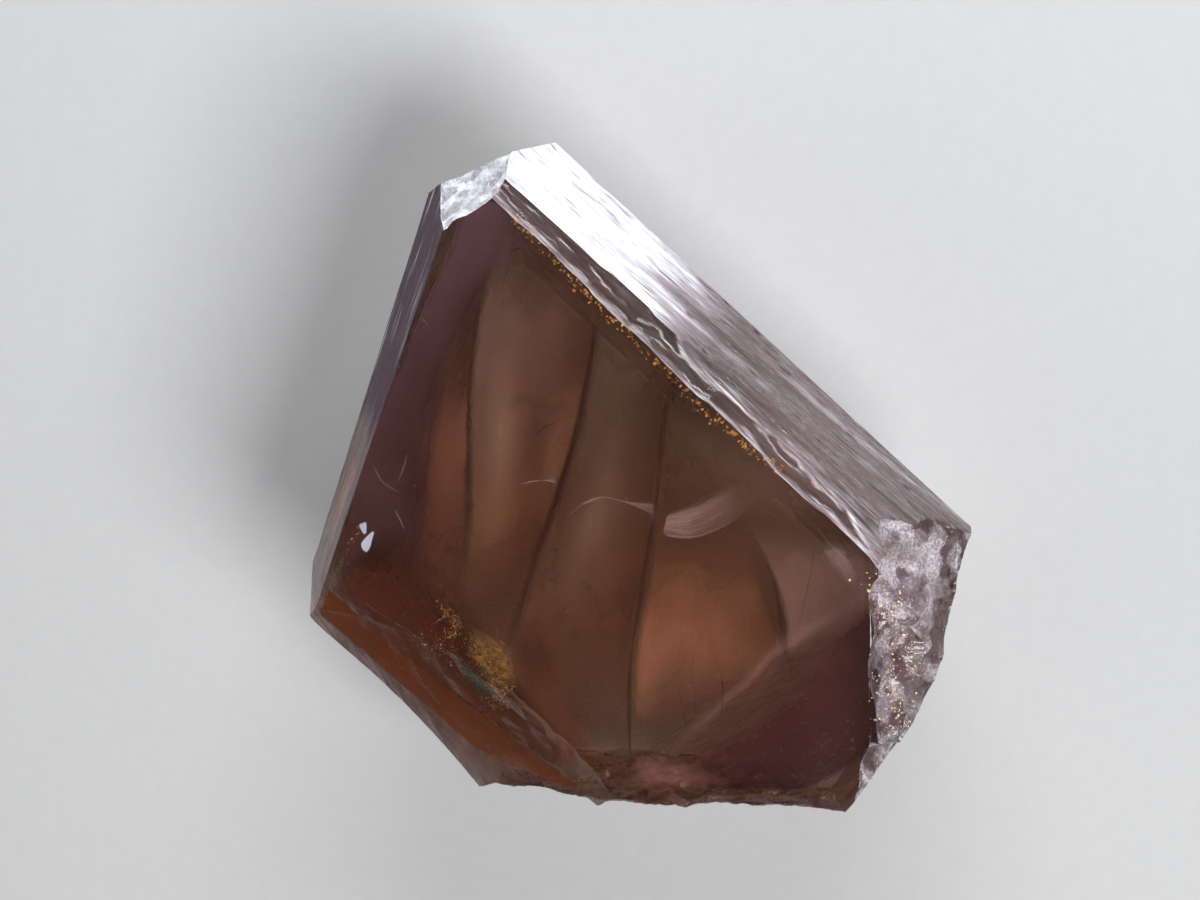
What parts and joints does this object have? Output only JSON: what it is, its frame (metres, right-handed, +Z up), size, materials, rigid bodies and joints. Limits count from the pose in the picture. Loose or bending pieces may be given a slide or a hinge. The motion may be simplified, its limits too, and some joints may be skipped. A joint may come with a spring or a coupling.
{
  "type": "polished scapolite crystal",
  "caption": "Dark violet-brown gem crystal with one flat polished window face, natural striated faces, a frosted tip and broken lower edges, lying on its flat back.",
  "frame": {"origin": "on the surface the crystal rests on, under the middle of its box", "axes": "+Z up, out of the polished face; the crystal's long axis is level, pointing about 71 degrees from +X towards +Y, and the tip points up the +Y side"},
  "size_m": [0.0392, 0.0386, 0.0164],
  "materials": {
    "crystal": "polished on one face, satin and striated on the natural faces, rough where broken"
  },
  "bodies": {
    "root": {"scapolite_crystal": "crystal"}
  },
  "joints": []
}
